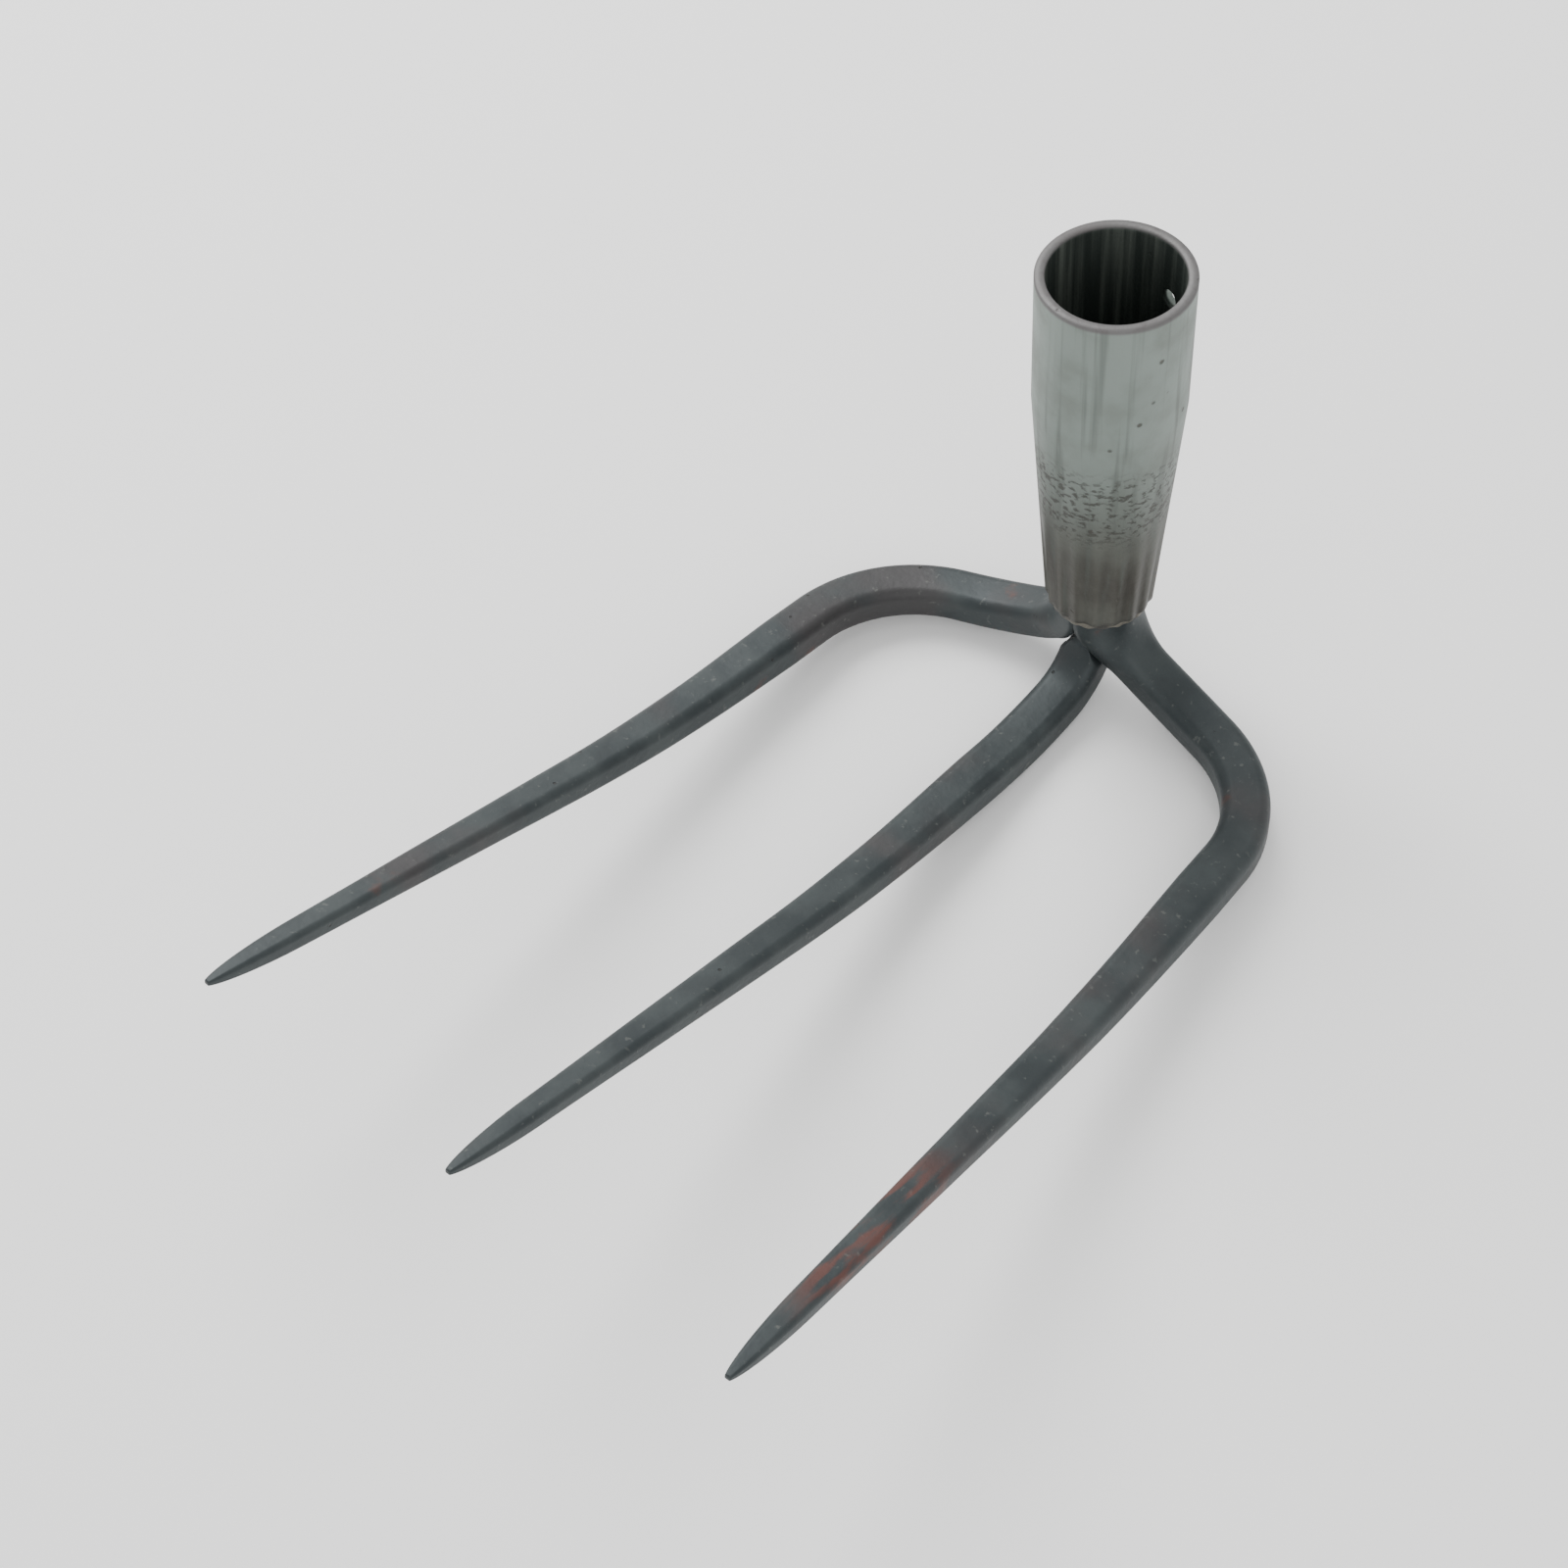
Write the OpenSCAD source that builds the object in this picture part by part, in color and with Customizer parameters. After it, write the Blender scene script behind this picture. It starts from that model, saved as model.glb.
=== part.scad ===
// Three-tine rake head.
// A steel tube is swaged down over the half-round tangs of two forged outer tines, a third tine
// is wedged up between their roots, and a bead of weld closes the joint under the tube's foot.
// The socket stands along Z with its mouth at the origin, and the tines reach towards -Y.

/* [Socket] */
// Outer diameter at the mouth
mouth_d = 40; // [34:0.5:48]
// Thickness of the tube's wall
tube_wall = 2.7; // [1.6:0.1:3.6]
// Length of the straight round part that takes the handle
straight_len = 40; // [30:1:80]
// Length of the swaged part that narrows to the foot
swage_len = 74; // [50:1:110]
// Outer diameter at the foot
foot_d = 30; // [28:0.5:33]
// Broken edge at the mouth, inside and outside
rim_break = 0.4; // [0.2:0.1:0.8]

/* [Flutes] */
// Number of shallow flutes that the swaging dies leave round the foot
flute_count = 18; // [12:1:24]
// Depth of a flute at the foot
flute_depth = 0.6; // [0.2:0.1:1]
// Height above the foot at which the flutes run out
flute_run = 52; // [20:1:70]

/* [Nail hole] */
// Diameter of the hole for the handle's nail
nail_d = 5.2; // [3:0.1:8]
// Distance of the hole below the mouth
nail_drop = 17.4; // [10:0.2:25]
// Direction of the hole, counted from +X towards +Y
nail_turn = 72; // [0:1:359]

/* [Bar] */
// Width of the forged bar where it is thickest
bar_w = 13.4; // [10:0.2:16]
// Thickness of the forged bar where it is thickest
bar_h = 11.3; // [8:0.1:13]
// Radius of the bar's long edges, as a share of its thickness
edge_share = 0.3; // [0.15:0.01:0.45]
// Distance from the tip over which the bar is drawn down
draw_len = 205; // [150:5:240]
// Size at the point as a share of the full bar
point_share = 0.42; // [0.3:0.01:0.6]
// Length of the rounded nose
nose_len = 27; // [10:1:40]
// Part of the nose that is worn off blunt
nose_blunt = 1.2; // [0.5:0.1:4]

/* [Tang and root] */
// Height of the tangs inside the socket
tang_len = 22; // [12:1:35]
// Neck between the socket's foot and the root bend
neck_len = 4.8; // [4:0.2:8]
// Radius of the root bend
root_r = 20; // [17:0.5:26]
// Angle of the root bend
root_lift = 67; // [60:1:75]
// Turn towards the front over the root bend
root_sweep = 5; // [0:1:12]

/* [Outer tines] */
// Length of the arm between root and shoulder
arm_len = 27; // [20:1:60]
// Turn of the arm towards the front
arm_sweep = 12; // [0:1:20]
// Lift of the arm
arm_lift = 21; // [12:1:24]
// Radius of the shoulder bend
shoulder_r = 38.4; // [30:0.2:60]
// Turn of the shoulder bend
shoulder_sweep = 70; // [60:1:75]
// Lift over the shoulder bend
shoulder_lift = 10.2; // [5:0.2:12]
// Length of the straight belly behind the rise
outer_belly_len = 32; // [20:1:60]

/* [Middle tine] */
// Distance of the middle tine's root in front of the socket's axis
middle_set = 2.5; // [1:0.1:4]
// Radius of the first bend of the heel
heel_r = 18; // [15:0.5:24]
// Length of the second, flatter bend of the heel
heel_len = 30; // [20:1:50]
// Lift over the flatter bend
heel_lift = 14.4; // [8:0.2:20]
// Length of the straight belly behind the rise
middle_belly_len = 26; // [15:1:60]

/* [Rise and point] */
// Length of the gentle bend that lifts the tines
rise_len = 65; // [40:1:90]
// Angle of that bend
rise_lift = 9.4; // [4:0.2:16]
// Length of the straight point
point_len = 122; // [90:1:160]

/* [Joints] */
// Gap between pieces that are pressed or welded together
seam = 0.1; // [0.05:0.01:0.2]
// Height of the weld bead under the socket's foot
bead_h = 3.6; // [2:0.1:3.8]

/* [Hidden] */

mouth_r = mouth_d / 2;
bore_r = mouth_r - tube_wall;
foot_r = foot_d / 2;
foot_bore_r = foot_r - tube_wall;
foot_z = -(straight_len + swage_len);
shade_socket = "#a3a8a2";
shade_forged = "#3f4849";
shade_weld = "#55544f";
socket_points = 6 * flute_count;
flute_rings = 6;

// Radius of the socket's outside and inside at a height above its foot
function shell_r(h) = foot_r + (mouth_r - foot_r) * min(h / swage_len, 1);
function hollow_r(h) = shell_r(h) - tube_wall;

// The tangs fill the hollow of the foot, so they widen upwards and can't pull out
function tang_r(h) = hollow_r(max(h, 0)) - seam;
neck_r = tang_r(0);

// Waves that the swaging dies press into the outside, deepest at the foot and gone at their run-out
function smooth(u) = let (c = max(0, min(u, 1))) c * c * (3 - 2 * c);
function flute_at(h) = flute_depth * (1 - smooth(h / flute_run));
function shell_ring(h, inset = 0) =
    [for (k = [0:socket_points - 1])
        let (
            a = 360 * k / socket_points,
            r = shell_r(h) - inset - flute_at(h) * (1 - cos(flute_count * a)) / 2
        )
        [r * cos(a), r * sin(a), foot_z + h]];

module socket_blank() {
    skin(concat(
        [for (i = [0:flute_rings]) shell_ring(flute_run * i / flute_rings)],
        [
            shell_ring(swage_len),
            shell_ring(swage_len + straight_len - rim_break),
            shell_ring(swage_len + straight_len, rim_break)
        ]
    ));
}

// The hollow is a true bore where the handle goes and narrows with the swage below it
module hollow() {
    over = 1;
    rotate_extrude($fn = socket_points)
        polygon([
            [0, foot_z - over],
            [foot_bore_r, foot_z - over],
            [foot_bore_r, foot_z],
            [bore_r, -straight_len],
            [bore_r, -rim_break],
            [bore_r + rim_break, 0],
            [bore_r + rim_break, over],
            [0, over]
        ]);
}

module nail_drill() {
    rotate([0, 0, nail_turn])
        translate([bore_r - tube_wall, 0, -nail_drop])
            rotate([0, 90, 0])
                cylinder(h = 3 * tube_wall, d = nail_d, $fn = 48);
}

module handle_socket() {
    color(shade_socket)
        difference() {
            socket_blank();
            hollow();
            nail_drill();
        }
}

// A bead of weld rolled in under the foot and against the neck
module foot_weld() {
    inner = neck_r + seam;
    width = foot_r - flute_depth - inner;
    color(shade_weld)
        translate([0, 0, foot_z - seam])
            rotate_extrude($fn = socket_points)
                polygon(concat(
                    [[inner, 0]],
                    [for (a = [0:15:90]) [inner + width * cos(a), -bead_h * sin(a)]]
                ));
}

// Outline of the bar: a rectangle with round edges, five points to a corner, run anticlockwise
corner_points = 5;
ring_points = 4 * corner_points;

function bar_outline(w, h) =
    let (r = edge_share * h)
    [for (q = [0:3], j = [0:corner_points - 1])
        let (
            a = 90 * q + 90 * j / (corner_points - 1),
            side = (q == 0 || q == 3) ? 1 : -1,
            top = q < 2 ? 1 : -1
        )
        [side * (w / 2 - r) + r * cos(a), top * (h / 2 - r) + r * sin(a)]];

// Outline of a tang: half a disc whose flat side faces its twin, with as many points
function tang_outline(r) =
    let (half = ring_points / 2, flat_y = -r / 2 + seam / 2)
    [for (k = [0:ring_points - 1])
        k < half
            ? let (a = 180 * k / (half - 1)) [r * cos(a), max(r * sin(a) - r / 2, flat_y)]
            : [r * (-1 + 2 * (k - half + 1) / (half + 1)), flat_y]];

// Share of the full bar that is left at a distance from the tip: a straight draw and a round nose
function draw_share(d) = point_share + (1 - point_share) * min(d / draw_len, 1);
function nose_share(d) =
    let (u = min((d + nose_blunt) / (nose_len + nose_blunt), 1)) sqrt(1 - (1 - u) * (1 - u));
function bar_share(d) = draw_share(d) * nose_share(d);

// A frame on a tine's way is [point, heading, pitch, way travelled]. Heading 0 points along +X
// and 90 points along -Y. Pitch is the climb, so that -90 points straight down.
function ahead(heading, pitch) =
    [cos(pitch) * cos(heading), -cos(pitch) * sin(heading), sin(pitch)];
function sideways(heading) = [sin(heading), cos(heading), 0];
function upwards(heading, pitch) =
    [-sin(pitch) * cos(heading), sin(pitch) * sin(heading), cos(pitch)];

// A stretch of the way is cut into equal steps of [length, turn, lift]
function stretch(length, turn, lift, steps) =
    [for (i = [1:steps]) [length / steps, turn / steps, lift / steps]];

function next_frame(f, s) =
    [f[0] + s[0] * ahead(f[1] + s[1] / 2, f[2] + s[2] / 2), f[1] + s[1], f[2] + s[2], f[3] + s[0]];

function walk(start, steps) =
    [for (i = 0, f = start; i <= len(steps); f = i < len(steps) ? next_frame(f, steps[i]) : f, i = i + 1) f];

function place(f, outline) =
    [for (p = outline) f[0] + p[0] * sideways(f[1]) + p[1] * upwards(f[1], f[2])];

// The nose is stepped more finely towards the tip
function nose_steps(n) =
    [for (i = [1:n]) [nose_len * (pow(1 - (i - 1) / n, 2) - pow(1 - i / n, 2)), 0, 0]];

function middle_of(ring) = [for (p = ring) 1] * ring / len(ring);

// Rings of points, each with as many as the last, become one skin whose ends close on their middles
module skin(rings) {
    n = len(rings[0]);
    last = (len(rings) - 1) * n;
    front = len(rings) * n;
    back = front + 1;
    polyhedron(
        points = concat(
            [for (ring = rings, p = ring) p],
            [middle_of(rings[0]), middle_of(rings[len(rings) - 1])]
        ),
        faces = [
            for (k = [0:n - 1]) let (m = (k + 1) % n) each [[front, k, m], [back, last + m, last + k]],
            for (i = [0:len(rings) - 2], k = [0:n - 1])
                let (a = i * n + k, b = i * n + (k + 1) % n)
                each [[a, a + n, b], [b, a + n, b + n]]
        ]
    );
}

// The rise and the point are bent and drawn alike on all three tines
rise_steps = stretch(rise_len, 0, rise_lift, 6);
point_steps = concat(stretch(point_len - nose_len, 0, 0, 6), nose_steps(9));

// Outer tine: down out of the socket, out over the root bend, along the arm and round the shoulder
bar_offset = neck_r / 2;
shoulder_len = shoulder_r * shoulder_sweep * PI / 180;
root_steps = stretch(root_r * root_lift * PI / 180, root_sweep, root_lift, 9);
outer_start = [[bar_offset, 0, foot_z + tang_len], 0, -90, 0];
outer_way = walk(outer_start, concat(
    stretch(tang_len, 0, 0, 2),
    stretch(neck_len, 0, 0, 1),
    root_steps,
    stretch(arm_len, arm_sweep, arm_lift, 6),
    stretch(shoulder_len, shoulder_sweep, shoulder_lift, 12),
    stretch(outer_belly_len, 0, 0, 3),
    rise_steps,
    point_steps
));
outer_total = outer_way[len(outer_way) - 1][3];
root_start = tang_len + neck_len;
root_end = root_start + root_r * root_lift * PI / 180;

// The half disc of the tang turns into the bar over the root bend
function outer_outline(f) =
    let (
        share = bar_share(outer_total - f[3]),
        t = smooth((f[3] - root_start) / (root_end - root_start)),
        tang = tang_outline(tang_r(tang_len - f[3])),
        bar = bar_outline(bar_w * share, bar_h * share)
    )
    [for (k = [0:ring_points - 1]) (1 - t) * tang[k] + t * bar[k]];

module right_tine() {
    color(shade_forged)
        skin([for (f = outer_way) place(f, outer_outline(f))]);
}

module left_tine() {
    mirror([1, 0, 0]) right_tine();
}

// Room between the undersides of the two root bends, at a height. The middle tine's root is
// hammered to a wedge that fills it.
bend_z = foot_z - neck_len;
function cleft_half(z) =
    let (
        r = root_r + bar_offset,
        s = min(max((bend_z - z) / r, 0), 0.999)
    )
    root_r + bar_offset - r * sqrt(1 - s * s);

// Middle tine: straight up into the cleft, forward over the heel, then as the outer ones
wedge_drop = 6;
wedge_top = bend_z - wedge_drop;
wedge_len = 3.3;
heel_turn = 36;
middle_steep = 49.4;
middle_start = [[0, -middle_set, wedge_top], 90, -90, 0];
middle_way = walk(middle_start, concat(
    stretch(wedge_len, 0, 0, 2),
    stretch(heel_r * heel_turn * PI / 180, 0, heel_turn, 6),
    stretch(heel_r * middle_steep * PI / 180, 0, middle_steep, 8),
    stretch(heel_len, 0, heel_lift, 6),
    stretch(middle_belly_len, 0, 0, 2),
    rise_steps,
    point_steps
));
middle_total = middle_way[len(middle_way) - 1][3];

root_reach = 14;
function wedged(p) =
    let (room = p[1] > -root_reach ? cleft_half(p[2]) - seam : bar_w)
    [max(-room, min(room, p[0])), p[1], p[2]];

module middle_tine() {
    color(shade_forged)
        skin([for (f = middle_way)
            let (share = bar_share(middle_total - f[3]))
            [for (p = place(f, bar_outline(bar_w * share, bar_h * share))) wedged(p)]]);
}

handle_socket();
left_tine();
middle_tine();
right_tine();
foot_weld();
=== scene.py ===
import bpy
import numpy as np
from mathutils import Matrix, Vector


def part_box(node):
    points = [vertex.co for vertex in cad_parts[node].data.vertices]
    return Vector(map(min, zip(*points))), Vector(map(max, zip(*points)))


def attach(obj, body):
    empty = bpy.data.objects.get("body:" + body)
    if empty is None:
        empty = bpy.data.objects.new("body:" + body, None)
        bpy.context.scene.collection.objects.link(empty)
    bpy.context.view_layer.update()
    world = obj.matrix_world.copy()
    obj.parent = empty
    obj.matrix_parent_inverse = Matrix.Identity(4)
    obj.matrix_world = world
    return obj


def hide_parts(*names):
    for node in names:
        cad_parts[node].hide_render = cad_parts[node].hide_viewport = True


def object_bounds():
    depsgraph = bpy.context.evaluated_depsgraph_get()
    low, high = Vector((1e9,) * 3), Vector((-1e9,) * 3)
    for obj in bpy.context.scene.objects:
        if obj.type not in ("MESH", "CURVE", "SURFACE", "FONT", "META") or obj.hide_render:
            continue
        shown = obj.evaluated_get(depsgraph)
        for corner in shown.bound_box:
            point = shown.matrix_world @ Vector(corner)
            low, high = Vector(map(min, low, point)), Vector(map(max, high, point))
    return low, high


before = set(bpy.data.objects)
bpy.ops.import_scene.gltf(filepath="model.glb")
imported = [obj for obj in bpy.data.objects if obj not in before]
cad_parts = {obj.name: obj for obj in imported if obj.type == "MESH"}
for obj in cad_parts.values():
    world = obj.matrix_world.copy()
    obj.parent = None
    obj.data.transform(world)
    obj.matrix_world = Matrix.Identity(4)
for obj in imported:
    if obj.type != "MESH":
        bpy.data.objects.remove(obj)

cad_low, cad_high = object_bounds()

# %% [markdown]
# The mouth's radius and the foot's height are read from the frame. Sizes that its boxes don't show,
# such as the wall and the flutes, are written here once, as a maker would give them.
# %% Sizes of the tube in millimetres
MM = 0.001
socket_low, socket_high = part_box("handle_socket")
mouth_r = round((socket_high.x - socket_low.x) / 2 / MM, 1)
foot_z = socket_low.z / MM
tube_wall = 2.7
straight_len = 40.0
foot_r = 15.0
rim_break = 0.4
flute_count, flute_depth, flute_run = 18, 0.6, 52.0
nail_r, nail_drop, nail_turn = 2.6, 17.4, 72
swage_len = -foot_z - straight_len
seam = 0.1
print("mouth radius", mouth_r, "foot at", round(foot_z, 1))


# %% [markdown]
# A surface is a grid of points. Its columns always close round, and its rows close where that is
# asked for. It could be built face by face, but whole arrays are quicker and read like the formula.
# %% From a grid of points to a mesh
def smooth(u):
    """0 below 0, 1 above 1, and 3u² - 2u³ between."""
    u = np.clip(u, 0, 1)
    return u * u * (3 - 2 * u)


def grid_faces(rows, columns, wrap_rows=False):
    """Each cell of the grid as a quad: along the row, up, back and down."""
    i = np.arange(rows if wrap_rows else rows - 1)[:, None]
    k = np.arange(columns)[None, :]
    row, next_row = i * columns, (i + 1) % rows * columns
    next_k = (k + 1) % columns
    corners = [row + k, row + next_k, next_row + next_k, next_row + k]
    return np.stack([np.broadcast_to(c, (len(i), columns)) for c in corners], -1).reshape(-1, 4)


def piece(name, points, faces, material, slot, node):
    """Points in millimetres become a smooth mesh that rides on the one body, in a node's place."""
    mesh = bpy.data.meshes.new(name)
    mesh.from_pydata((points * MM).tolist(), [], [list(f) for f in faces])
    mesh.polygons.foreach_set("use_smooth", np.ones(len(mesh.polygons), bool))
    mesh.materials.append(material)
    mesh.update()
    thing = bpy.data.objects.new(name, mesh)
    bpy.context.scene.collection.objects.link(thing)
    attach(thing, "root")
    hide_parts(node)
    print(name, len(mesh.polygons), "faces")


# %% [markdown]
# Shader maths reads best as expressions. A small class wraps a socket, so that adding or
# multiplying two of them adds the Math node. Nodes could be laid and linked by hand instead, but
# then the pattern can't be read off the page.
# %% A socket that can be calculated with
class Value:
    def __init__(self, finish, socket):
        self.finish, self.socket = finish, socket

    def math(self, operation, other=None):
        inputs = {0: self} if other is None else {0: self, 1: other}
        return self.finish.node("ShaderNodeMath", {"operation": operation}, inputs)

    def __add__(self, other):
        return self.math("ADD", other)

    def __mul__(self, other):
        return self.math("MULTIPLY", other)

    def __sub__(self, other):
        return self.math("SUBTRACT", other)

    def __rsub__(self, other):
        return self * -1.0 + other

    __radd__, __rmul__ = __add__, __mul__

    def ramp(self, low, high):
        """0 at low, 1 at high and smooth between. low may be the larger of the two."""
        if low > high:
            return 1 - self.ramp(high, low)
        settings = {"interpolation_type": "SMOOTHSTEP"}
        return self.finish.node("ShaderNodeMapRange", settings, {0: self, 1: low, 2: high})


# %% A material that makes its own nodes
class Finish:
    """One material: its nodes, its patterns and its shader."""

    PIT_MIDDLE = 0.4
    BUMP_STRENGTH = 0.8

    def __init__(self, name):
        self.material = bpy.data.materials.new(name)
        self.material.use_nodes = True
        self.nodes = self.material.node_tree.nodes
        self.links = self.material.node_tree.links
        self.shader = self.nodes["Principled BSDF"]
        self.place = self.node("ShaderNodeTexCoord", {}, {}, "Object")

    def node(self, kind, settings, inputs, output=0):
        """A node with its settings made first, then the values or links of its sockets."""
        made = self.nodes.new(kind)
        for key, value in settings.items():
            setattr(made, key, value)
        for key, value in inputs.items():
            if isinstance(value, Value):
                self.links.new(value.socket, made.inputs[key])
            else:
                made.inputs[key].default_value = value
        return Value(self, made.outputs[output])

    def noise(self, scale, stretch=(1, 1, 1), detail=5.0):
        """Noise of about this many features to the metre, times each axis's share in stretch."""
        at = self.node("ShaderNodeMapping", {}, {"Vector": self.place, "Scale": stretch})
        return self.node("ShaderNodeTexNoise", {}, {"Vector": at, "Scale": scale, "Detail": detail})

    def pits(self, scale, size):
        """Round spots, one to a cell, 1 in their middles."""
        cells = {"Vector": self.place, "Scale": scale}
        far = self.node("ShaderNodeTexVoronoi", {}, cells, "Distance")
        return far.ramp(size, size * self.PIT_MIDDLE)

    def mix(self, share, a, b):
        """Colour a where share is 0 and b where it is 1."""
        return self.node("ShaderNodeMix", {"data_type": "RGBA"}, {0: share, 6: a, 7: b}, 2)

    def split(self):
        """X, Y and Z of the place on the object, in metres."""
        parts = self.node("ShaderNodeSeparateXYZ", {}, {0: self.place}).socket.node
        return [Value(self, s) for s in parts.outputs]

    def done(self, colour, rough, height, depth, metallic):
        """Links what varies to the shader, with the height as a bump this many metres deep."""
        relief = {"Height": height, "Distance": depth, "Strength": self.BUMP_STRENGTH}
        bump = self.node("ShaderNodeBump", {}, relief)
        self.shader.inputs["Metallic"].default_value = metallic
        for name, value in [("Base Color", colour), ("Roughness", rough), ("Normal", bump)]:
            self.links.new(value.socket, self.shader.inputs[name])
        print("finish", self.material.name, len(self.nodes), "nodes")
        return self.material


def rgb(r, g, b):
    return (r, g, b, 1.0)


# %% [markdown]
# The tube is dull grey above and browner towards its foot, with a crackled band of scale, lines
# from drawing the tube and small pits. Painted shade darkens the flute valleys and the inside,
# where the drawing lines show as paler streaks. Height and radius say where each one lies.
# A painted picture could show the same, but would need unwrapping and would blur close up.
# %% The tube's finish
def socket_finish():
    f = Finish("socket_steel")
    x, y, z = f.split()
    radius = (x * x + y * y).math("SQRT")
    blotch = f.noise(55)
    fine = f.noise(600)
    lines = f.noise(90, (4, 4, 0.12), 3.0)
    low = z.ramp(-0.035, -0.1)
    colour = f.mix(low, rgb(0.19, 0.225, 0.205), rgb(0.048, 0.045, 0.037))

    # Painted shade: the flute valleys low on the swage are painted darker.
    wave = (y.math("ARCTAN2", x) * flute_count).math("COSINE")
    flute_shade = (1 - wave) * 0.5 * z.ramp(-0.066, -0.09)
    colour = f.mix(flute_shade * 0.6, colour, rgb(0.028, 0.026, 0.021))
    colour = f.mix(blotch.ramp(0.42, 0.72) * 0.55, colour, rgb(0.1, 0.105, 0.09))
    colour = f.mix(lines.ramp(0.52, 0.7) * 0.5, colour, rgb(0.07, 0.08, 0.07))

    scale_band = z.ramp(-0.083, -0.072) * z.ramp(-0.048, -0.058)
    crackle = scale_band * f.noise(480, (1, 1, 1.6)).ramp(0.5, 0.62)
    colour = f.mix(crackle * 0.8, colour, rgb(0.035, 0.033, 0.027))
    spots = f.pits(110, 0.1)
    colour = f.mix(spots * 0.8, colour, rgb(0.045, 0.04, 0.03))
    rust = f.noise(38).ramp(0.6, 0.72) * z.ramp(-0.098, -0.112)
    colour = f.mix(rust * 0.7, colour, rgb(0.16, 0.06, 0.025))
    rim = z.ramp(-0.0016, -0.0006)
    colour = f.mix(rim * 0.75, colour, rgb(0.1, 0.085, 0.09))

    taper = {0: z, 1: foot_z * MM, 2: -straight_len * MM, 3: foot_r * MM, 4: mouth_r * MM}
    outside_r = f.node("ShaderNodeMapRange", {}, taper)
    inside = (radius - outside_r).ramp(-0.0012, -0.002) * z.ramp(-0.0002, -0.0012)
    # Painted shade: inside the mouth the colour is painted dark, with paler streaks from drawing
    # the tube.
    inside_shade_and_streaks = f.mix(lines.ramp(0.4, 0.7), rgb(0.022, 0.03, 0.026), rgb(0.1, 0.115, 0.1))
    colour = f.mix(inside, colour, inside_shade_and_streaks)
    rough = 0.42 + blotch * 0.25 + inside * 0.2
    height = fine * 0.25 + blotch * 0.5 - crackle * 0.5 - spots + lines * 0.3
    return f.done(colour, rough, height, 0.0005, 0.45)


socket_steel = socket_finish()


# %% [markdown]
# Forging leaves a blue-grey scale on the bars, mottled, with brown and purple where it wore off.
# One bar has a red streak of rust near its point. The same finish serves all three, because a
# pattern on Object coordinates differs from place to place by itself.
# %% The forged bars' finish
def forged_finish():
    f = Finish("forged_scale")
    blotch, fine, broad = f.noise(70), f.noise(500), f.noise(24)
    colour = f.mix(blotch.ramp(0.35, 0.7), rgb(0.021, 0.028, 0.03), rgb(0.038, 0.047, 0.048))
    colour = f.mix(broad.ramp(0.5, 0.66) * 0.55, colour, rgb(0.045, 0.037, 0.037))
    colour = f.mix(fine.ramp(0.62, 0.74) * 0.4, colour, rgb(0.12, 0.125, 0.115))
    colour = f.mix(f.noise(46).ramp(0.64, 0.72) * 0.6, colour, rgb(0.09, 0.03, 0.02))
    x, y, _ = f.split()
    near_point = x.ramp(0.06, 0.072) * y.ramp(-0.165, -0.185) * y.ramp(-0.235, -0.215)
    streak = near_point * f.noise(120, (3, 0.5, 1)).ramp(0.45, 0.6)
    colour = f.mix(streak * 0.7, colour, rgb(0.11, 0.035, 0.025))
    spots = f.pits(120, 0.07)
    colour = f.mix(spots * 0.7, colour, rgb(0.015, 0.014, 0.012))
    rough = 0.4 + blotch * 0.25
    return f.done(colour, rough, blotch * 0.8 + fine * 0.2 - spots, 0.0006, 0.4)


forged_scale = forged_finish()


# %% [markdown]
# A weld cools dark, with paler grains where the slag came off.
# %% The weld's finish
def weld_finish():
    f = Finish("weld_steel")
    blotch, fine = f.noise(130), f.noise(700)
    colour = f.mix(blotch.ramp(0.4, 0.65), rgb(0.035, 0.034, 0.03), rgb(0.15, 0.14, 0.115))
    return f.done(colour, 0.45 + fine * 0.2, blotch + fine * 0.3, 0.0007, 0.4)


weld_steel = weld_finish()


# %% [markdown]
# The tube's wall is one profile carried round: up the outside, over the rim and down the inside.
# Rows are even beside the nail hole, so that a square block of cells can be left out there. A
# Boolean would cut the hole too, but it leaves slivers that shade badly.
# %% The tube's profile
COLUMNS = 360
SWAGE_ROWS, STRAIGHT_ROWS = 56, 9
HOLE_CELLS = 7
HOLE_REACH = 20
CELL_Z = 0.35
hole_rows = np.arange(HOLE_REACH, -HOLE_REACH - 1, -1)
first_hole_row = SWAGE_ROWS + STRAIGHT_ROWS


def shell_r(z):
    """Outside radius: it grows evenly from foot to swage and stays the mouth's above it."""
    return foot_r + (mouth_r - foot_r) * np.clip((z - foot_z) / swage_len, 0, 1)


def wall_profile():
    """Radius and height of each row, and which rows are on the outside."""
    beside_hole = -nail_drop - hole_rows * CELL_Z
    up = np.concatenate([
        np.linspace(foot_z, -straight_len, SWAGE_ROWS, endpoint=False),
        np.linspace(-straight_len, beside_hole[0], STRAIGHT_ROWS, endpoint=False),
        beside_hole,
        np.linspace(beside_hole[-1], -rim_break, STRAIGHT_ROWS)[1:],
    ])
    down = up[::-1]
    rim_r = [mouth_r - rim_break, mouth_r - tube_wall + rim_break]
    r = np.concatenate([shell_r(up), rim_r, shell_r(down) - tube_wall])
    z = np.concatenate([up, [0, 0], down])
    return r, z, np.arange(len(z)) < len(up)


print("rows in the wall's profile", len(wall_profile()[0]))

# %% [markdown]
# Round the hole, cells are counted from its middle. The edge of the missing block is pushed from a
# square into the hole's circle, and the push fades out over the cells beyond it.
# %% The tube
FAR_AWAY = 999
TINY = 1e-9


def cells_from_hole(row_count):
    """How many columns and rows each point is from the hole's middle, outside and inside."""
    row_offset = np.full(row_count, FAR_AWAY)
    row_offset[first_hole_row:first_hole_row + len(hole_rows)] = -hole_rows
    end = row_count - first_hole_row
    row_offset[end - len(hole_rows):end] = hole_rows
    column_offset = np.arange(COLUMNS) - nail_turn * COLUMNS // 360
    return np.broadcast_arrays(column_offset[None, :], row_offset[:, None])


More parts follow.
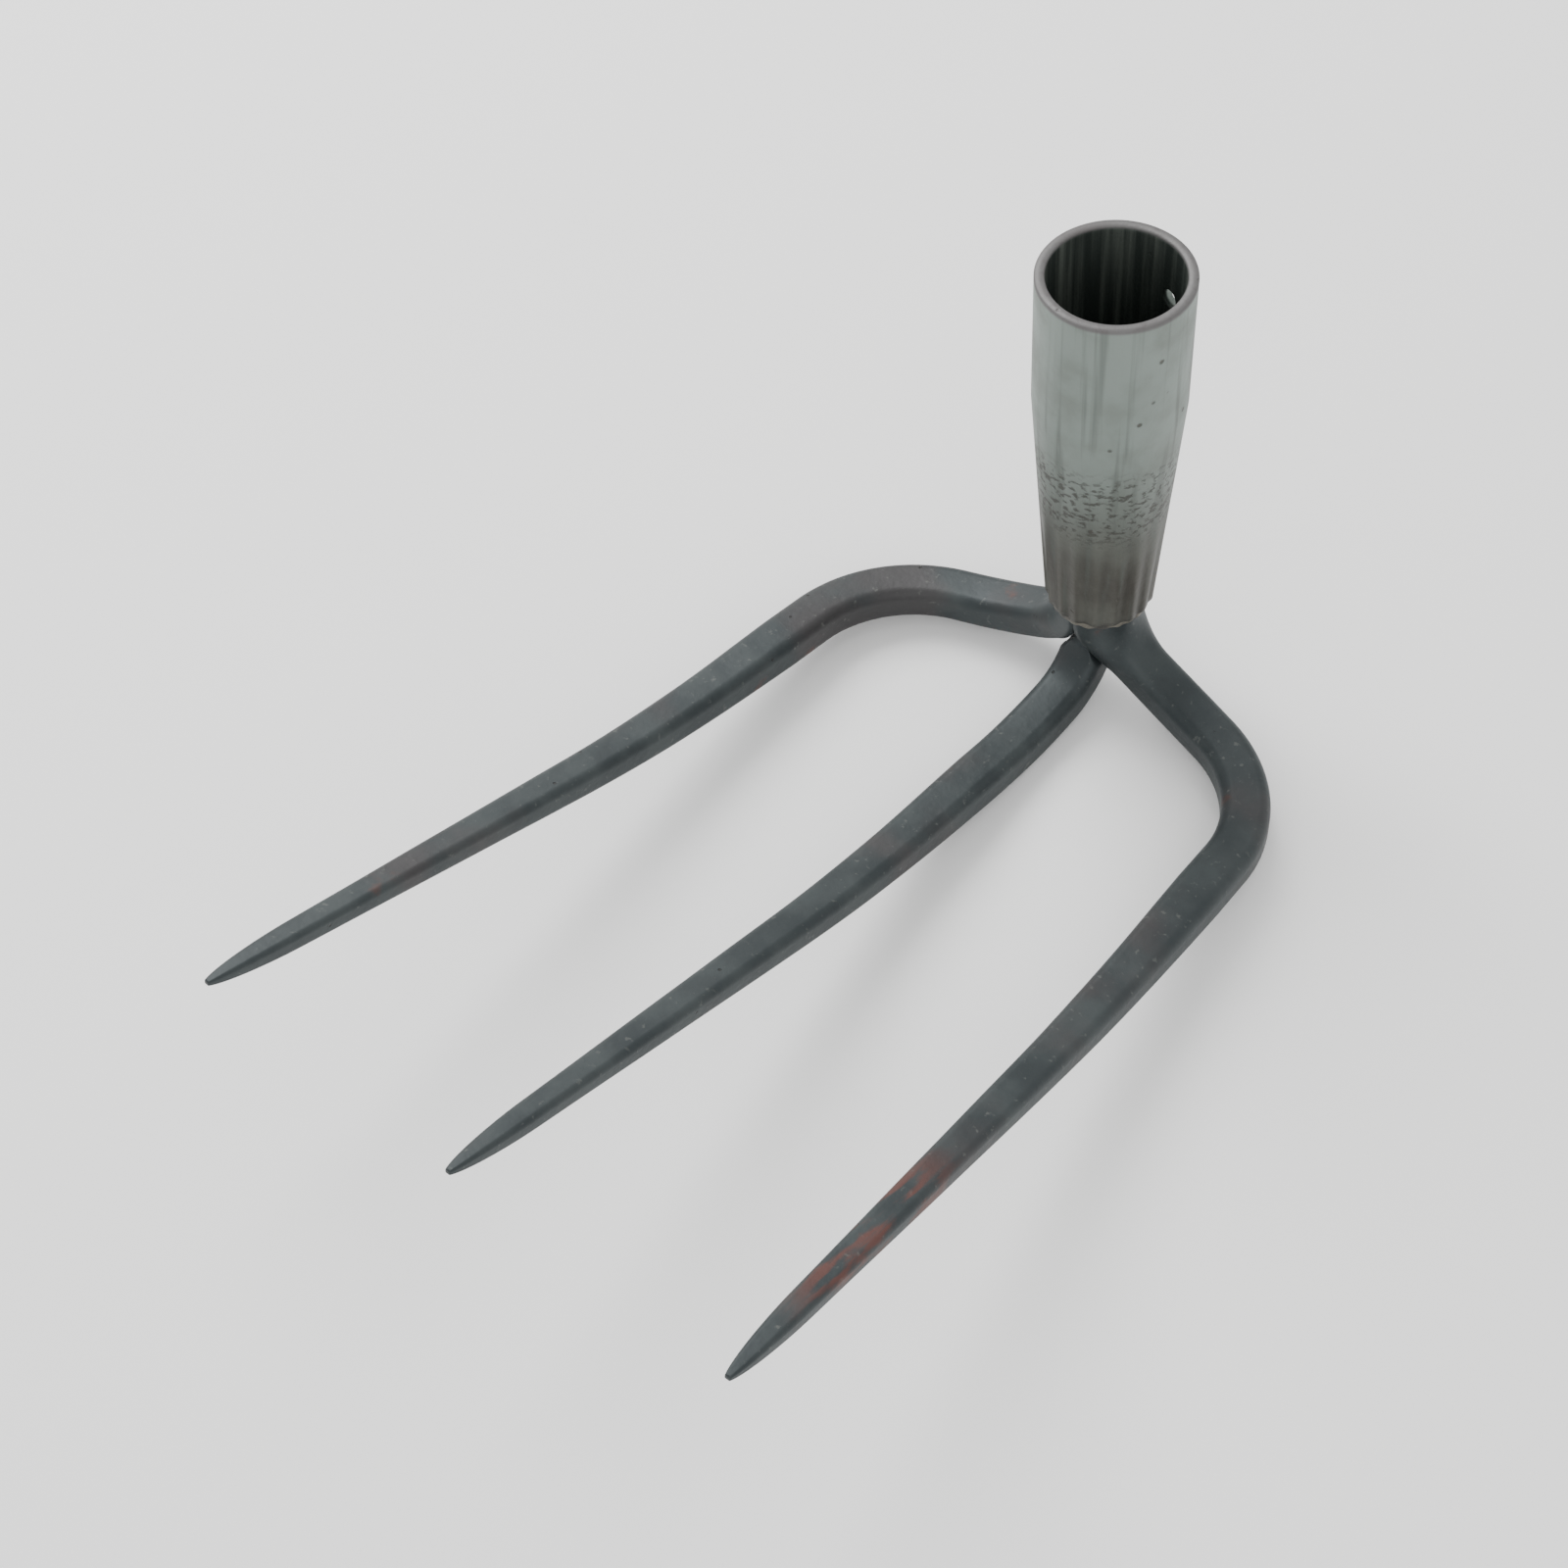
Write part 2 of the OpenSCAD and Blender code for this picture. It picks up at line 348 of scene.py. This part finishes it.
def hole_wall(row_count):
    """Quads from the circle on the outside to the one on the inside."""
    n = HOLE_CELLS
    side = np.arange(-n, n)
    loop = np.array([*[(n, v) for v in side], *[(-v, n) for v in side],
                     *[(-n, -v) for v in side], *[(v, -n) for v in side]])
    column = nail_turn * COLUMNS // 360 + loop[:, 0]
    middle = first_hole_row + HOLE_REACH
    outer = (middle + loop[:, 1]) * COLUMNS + column
    inner = (row_count - 1 - middle - loop[:, 1]) * COLUMNS + column
    after = np.roll(np.arange(len(loop)), -1)
    return np.stack([outer, outer[after], inner[after], inner], -1)


def without_loose(points, faces):
    """Drops the points that no face uses."""
    used, renumbered = np.unique(faces, return_inverse=True)
    return points[used], renumbered.reshape(faces.shape)


def tube():
    """Radius is the wall's profile less a wave of 18 flutes whose depth fades up the swage. Near
    the hole, a point s blocks from its middle goes to s hole radii, and less so further out."""
    r, z, outside = wall_profile()
    angle = 2 * np.pi * np.arange(COLUMNS) / COLUMNS
    depth = flute_depth * (1 - smooth((z - foot_z) / flute_run)) * outside
    r = r[:, None] - depth[:, None] * (1 - np.cos(flute_count * angle)) / 2
    angle = np.broadcast_to(angle, r.shape).copy()
    z = np.broadcast_to(z[:, None], r.shape).copy()

    i, j = cells_from_hole(len(r))
    s = np.maximum(abs(i), abs(j)) / HOLE_CELLS
    across = r * i * 2 * np.pi / COLUMNS
    along = j * CELL_Z
    distance = np.hypot(across, along) + TINY
    share = smooth((s - 1) / (HOLE_REACH / HOLE_CELLS - 1))
    moved = (1 - share) * s * nail_r + share * distance
    near = (s <= HOLE_REACH / HOLE_CELLS) & (abs(j) < FAR_AWAY)
    grow = np.where(near, moved / distance, 1)
    angle += np.where(near, across * (grow - 1) / r, 0)
    z += np.where(near, along * (grow - 1), 0)
    points = np.stack([r * np.cos(angle), r * np.sin(angle), z], -1).reshape(-1, 3)

    faces = grid_faces(len(r), COLUMNS, wrap_rows=True)
    block = (s <= 1).reshape(-1)
    faces = faces[~block[faces].all(1)]
    return without_loose(points, np.concatenate([faces, hole_wall(len(r))]))


piece("socket_tube", *tube(), socket_steel, "socket_steel", "handle_socket")

# %% [markdown]
# A tine is a bar on a way, as a smith bends it: straight, round a bend, straight again. Heading and
# pitch change evenly over each stretch, so both are read off a table of stretches, and the points
# are the running sum of short steps. A drawn curve would bend too, but without true radii.
# %% The way of a tine, as stretches of millimetres along, degrees round and degrees up
neck_r = foot_r - tube_wall - seam
tang_len, neck_len = 22.0, 4.8
root_r, root_lift = 20.0, 67
shoulder_r, shoulder_sweep = 38.4, 70
heel_r, heel_turn, heel_steep = 18, 36, 49.4
root_start = tang_len + neck_len
root_len = np.radians(root_lift) * root_r
rise_and_point = [(65, 0, 9.4), (122, 0, 0)]
outer_stretches = [
    (root_start, 0, 0),
    (root_len, 5, root_lift),
    (27, 12, 21),
    (np.radians(shoulder_sweep) * shoulder_r, shoulder_sweep, 10.2),
    (32, 0, 0),
    *rise_and_point,
]
middle_stretches = [
    (3.3, 0, 0),
    (np.radians(heel_turn) * heel_r, 0, heel_turn),
    (np.radians(heel_steep) * heel_r, 0, heel_steep),
    (30, 0, 14.4),
    (26, 0, 0),
    *rise_and_point,
]
print("outer way", round(sum(s[0] for s in outer_stretches)), "mm")

# %% Walking the way
WAY_STEPS = 8000
TINE_RINGS = 420
TIP_CROWDING = 1.25
STRAIGHT_DOWN = -90


def way(start, heading, stretches):
    """Places, sideways and upwards directions and distances of the rings, closer near the tip."""
    table = np.array(stretches, float)
    marks, turns, lifts = [np.concatenate([[0], np.cumsum(column)]) for column in table.T]
    turns, lifts = heading + turns, STRAIGHT_DOWN + lifts

    def direction(s):
        return np.radians(np.interp(s, marks, turns)), np.radians(np.interp(s, marks, lifts))

    s = np.linspace(0, marks[-1], WAY_STEPS)
    h, p = direction((s[1:] + s[:-1]) / 2)
    steps = np.stack([np.cos(p) * np.cos(h), -np.cos(p) * np.sin(h), np.sin(p)], -1)
    line = np.concatenate([[start], start + np.cumsum(steps * np.diff(s)[:, None], 0)])
    u = np.linspace(0, 1, TINE_RINGS)
    at = marks[-1] * (1 - (1 - u) ** TIP_CROWDING)
    h, p = direction(at)
    side = np.stack([np.sin(h), np.cos(h), 0 * h], -1)
    up = np.stack([-np.sin(p) * np.cos(h), np.sin(p) * np.sin(h), np.cos(p)], -1)
    place = np.stack([np.interp(at, s, line[:, c]) for c in range(3)], -1)
    return place, side, up, at, marks[-1]


# %% [markdown]
# The bar is a rectangle with round edges, drawn down evenly to a blunt nose. Uneven hammering
# shows as slow swells, so its size varies by about a hundredth along the way.
# %% The bar's outline
CORNER = 12
AROUND = 4 * CORNER
bar_w, bar_h, edge_share = 13.4, 11.3, 0.3


def bar_outline():
    """Corner centres plus quarter circles, in millimetres for the full bar, run anticlockwise."""
    q, j = np.divmod(np.arange(AROUND), CORNER)
    a = np.pi / 2 * (q + j / (CORNER - 1))
    r = edge_share * bar_h
    x = np.where((q == 0) | (q == 3), 1, -1) * (bar_w / 2 - r) + r * np.cos(a)
    y = np.where(q < 2, 1, -1) * (bar_h / 2 - r) + r * np.sin(a)
    return np.stack([x, y], -1)


def tang_outline(r):
    """Half a disc of each radius in r, flat towards its twin."""
    half = AROUND // 2
    k = np.arange(half)
    flat = (-r / 2 + seam / 2)[:, None]
    a = np.pi * k / (half - 1)
    arc_x = np.outer(r, np.cos(a))
    arc_y = np.maximum(np.outer(r, np.sin(a)) - r[:, None] / 2, flat)
    flat_x = np.outer(r, -1 + 2 * (k + 1) / (half + 1))
    flat_y = np.broadcast_to(flat, flat_x.shape)
    return np.stack([np.hstack([arc_x, flat_x]), np.hstack([arc_y, flat_y])], -1)


# %% The bar's size along the way
draw_len, point_share = 205, 0.42
nose_len, nose_blunt = 27, 1.2
SWELL, SHORT_WAVE, LONG_WAVE = 0.012, 9.5, 23.0


def bar_share(d):
    """An even draw from the point's share to 1, times the side of an ellipse over the nose."""
    drawn = point_share + (1 - point_share) * np.clip(d / draw_len, 0, 1)
    u = np.clip((d + nose_blunt) / (nose_len + nose_blunt), 0, 1)
    return drawn * np.sqrt(1 - (1 - u) ** 2)


def swell(s, phase):
    """1 less a small product of a short and a long wave, never above 1."""
    wave = np.sin(s / SHORT_WAVE + phase) * np.sin(s / LONG_WAVE + 2 * phase)
    return 1 - SWELL * (1 + wave) / 2


def hammered_bar(s, total, phase):
    """The bar's outline at each ring, drawn down and a little uneven."""
    return bar_outline()[None] * (bar_share(total - s) * swell(s, phase))[:, None, None]


def swept(place, side, up, outline):
    """Ring point = place + x times sideways + y times upwards."""
    return place[:, None] + outline[..., :1] * side[:, None] + outline[..., 1:] * up[:, None]


def closed(ring):
    """Quads between the rings, and a fan of triangles to a middle point at each end."""
    rows, columns = ring.shape[:2]
    points = np.concatenate([ring.reshape(-1, 3), [ring[0].mean(0), ring[-1].mean(0)]])
    start_middle, end_middle = rows * columns, rows * columns + 1
    last = (rows - 1) * columns
    turns = [(k, (k + 1) % columns) for k in range(columns)]
    fans = [[start_middle, b, a] for a, b in turns]
    fans += [[end_middle, last + a, last + b] for a, b in turns]
    return points, grid_faces(rows, columns).tolist() + fans


# %% [markdown]
# Inside the foot an outer tine is half a disc, beside its twin. Over the root bend it turns into
# the bar, so both outlines have as many points and each point slides from one to the other.
# %% The outer tines
def outer_tine(sign):
    """(1 - t) times the tang plus t times the bar, with t smooth over the root bend."""
    start = np.array([neck_r / 2, 0, foot_z + tang_len])
    place, side, up, s, total = way(start, 0, outer_stretches)
    tang = tang_outline(shell_r(foot_z + np.clip(tang_len - s, 0, None)) - tube_wall - seam)
    t = smooth((s - root_start) / root_len)[:, None, None]
    ring = swept(place, side, up, (1 - t) * tang + t * hammered_bar(s, total, sign))
    if sign < 0:
        ring = ring[:, ::-1] * [-1, 1, 1]
    return closed(ring)


piece("right_bar", *outer_tine(1), forged_scale, "forged_scale", "right_tine")
piece("left_bar", *outer_tine(-1), forged_scale, "forged_scale", "left_tine")

# %% [markdown]
# The middle tine's root is hammered to a wedge between the two root bends. Their undersides are
# arcs, so the room at a height is known, and the bar is held to it there.
# %% The middle tine
middle_set, wedge_drop, root_reach = 2.5, 6, 14
MIDDLE_PHASE = 2.2
NEARLY_ONE = 0.999


def middle_tine():
    """x is kept within the room: r less the root of r² - depth², where r is an arc's radius."""
    bend_z = foot_z - neck_len
    start = np.array([0, -middle_set, bend_z - wedge_drop])
    place, side, up, s, total = way(start, 90, middle_stretches)
    ring = swept(place, side, up, hammered_bar(s, total, MIDDLE_PHASE))
    r = root_r + neck_r / 2
    deep = np.clip((bend_z - ring[..., 2]) / r, 0, NEARLY_ONE)
    cleft = r - r * np.sqrt(1 - deep ** 2) - seam
    room = np.where(ring[..., 1] > -root_reach, cleft, bar_w)
    ring[..., 0] = np.clip(ring[..., 0], -room, room)
    return closed(ring)


piece("middle_bar", *middle_tine(), forged_scale, "forged_scale", "middle_tine")


# %% [markdown]
# The weld under the foot is a rolled bead. Its ripples are where the welder paused, so the bead's
# height and width swing a little round the ring.
# %% The weld
bead_h = 3.6
BEAD_COLUMNS, BEAD_ROWS = 240, 14
RIPPLES, RIPPLE, SAG = 23, 0.1, 0.08


def weld():
    """A quarter round carried about Z, its size less a ripple and a slower sag of the angle."""
    arc = np.radians(np.linspace(0, 90, BEAD_ROWS))
    angle = 2 * np.pi * np.arange(BEAD_COLUMNS) / BEAD_COLUMNS
    beat = np.sin(RIPPLES * angle + 1.5 * np.sin(3 * angle))
    size = 1 - RIPPLE * (1 + beat) / 2 - SAG * np.sin(2 * angle) ** 2
    inner = neck_r + seam
    width = foot_r - flute_depth - inner
    r = np.vstack([np.full(BEAD_COLUMNS, inner), inner + width * np.outer(np.cos(arc), size)])
    z = np.vstack([np.zeros(BEAD_COLUMNS), -bead_h * np.outer(np.sin(arc), size)]) + foot_z - seam
    points = np.stack([r * np.cos(angle), r * np.sin(angle), z], -1).reshape(-1, 3)
    return points, grid_faces(len(r), BEAD_COLUMNS, wrap_rows=True)[:, ::-1]


piece("foot_bead", *weld(), weld_steel, "weld_steel", "foot_weld")

# %% [markdown]
# A plain pale floor carries the head, level with the lowest point of the frame.
# %% The floor
bpy.ops.mesh.primitive_plane_add(size=12, location=(0, 0, cad_low.z))
floor = bpy.context.object
floor.name = "floor"
pale = bpy.data.materials.new("pale_floor")
pale.use_nodes = True
pale_shader = pale.node_tree.nodes["Principled BSDF"]
pale_shader.inputs["Base Color"].default_value = rgb(0.95, 0.95, 0.945)
pale_shader.inputs["Roughness"].default_value = 0.9
floor.data.materials.append(pale)
print("floor at", round(cad_low.z, 4), "m")

# %% [markdown]
# Dull steel needs wide lights, because a small one would only leave a hard spot on each edge. The
# world lights every side, and two broad lamps give the bars a lighter and a darker face.
# %% The light
world = bpy.data.worlds.new("studio")
world.use_nodes = True
sky = world.node_tree.nodes["Background"]
sky.inputs["Color"].default_value = rgb(1, 1, 1)
sky.inputs["Strength"].default_value = 1.1
bpy.context.scene.world = world

aim = Vector((0, -0.1, -0.1))


def soft_light(name, place, size, power):
    """A square lamp at a place in metres, turned to the head."""
    lamp = bpy.data.lights.new(name, "AREA")
    lamp.size, lamp.energy = size, power
    thing = bpy.data.objects.new(name, lamp)
    turned = (aim - place).to_track_quat("-Z", "Y").to_matrix().to_4x4()
    thing.matrix_world = Matrix.Translation(place) @ turned
    bpy.context.scene.collection.objects.link(thing)
    print(name, power, "W")


soft_light("key", Vector((-0.9, 0.3, 1.0)), 0.9, 22)
soft_light("fill", Vector((0.9, -1.0, 0.8)), 1.2, 6)

# %% [markdown]
# The camera stands where the photograph was taken from. It was found by fitting the head's outline,
# and its axes are written as directions: where it looks and what is to its right.
# %% The camera
camera_place = Vector((0.27268, -0.41384, 0.4498))
look = Vector((-0.421, 0.4352, -0.7958)).normalized()
right = Vector((0.7678, 0.6381, -0.0572)).normalized()
above = right.cross(look).normalized()
camera_data = bpy.data.cameras.new("camera")
camera_data.sensor_width = 36
camera_data.lens = 61.94
camera = bpy.data.objects.new("camera", camera_data)
camera_turn = Matrix((right, above, -look)).transposed().to_4x4()
camera.matrix_world = Matrix.Translation(camera_place) @ camera_turn
bpy.context.scene.collection.objects.link(camera)
bpy.context.scene.camera = camera
print("lens", camera_data.lens, "mm")
